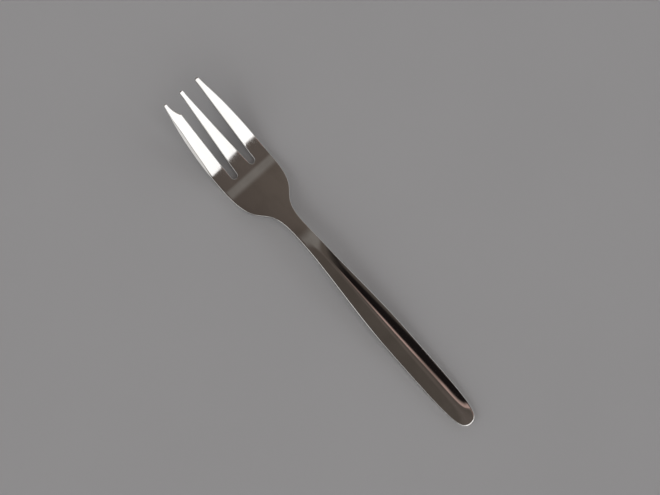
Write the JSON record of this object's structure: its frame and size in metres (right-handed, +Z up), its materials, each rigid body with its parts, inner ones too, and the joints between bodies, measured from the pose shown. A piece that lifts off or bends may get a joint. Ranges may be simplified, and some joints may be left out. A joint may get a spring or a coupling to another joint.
{
  "type": "pastry fork",
  "caption": "Steel pastry fork with a slim ridged handle, a narrow neck, a curved head and a wider notched tine on the left for cutting.",
  "frame": {"origin": "on the surface that the fork lies on, under the middle of its length and width", "axes": "+X from the handle's end to the tine tips, +Y to the left, where the cutting tine is, +Z up out of the front face"},
  "size_m": [0.15, 0.0208, 0.0108],
  "materials": {
    "polished_steel": "polished stainless steel with fine polishing lines"
  },
  "bodies": {
    "root": {"pastry_fork": "polished_steel"}
  },
  "joints": []
}
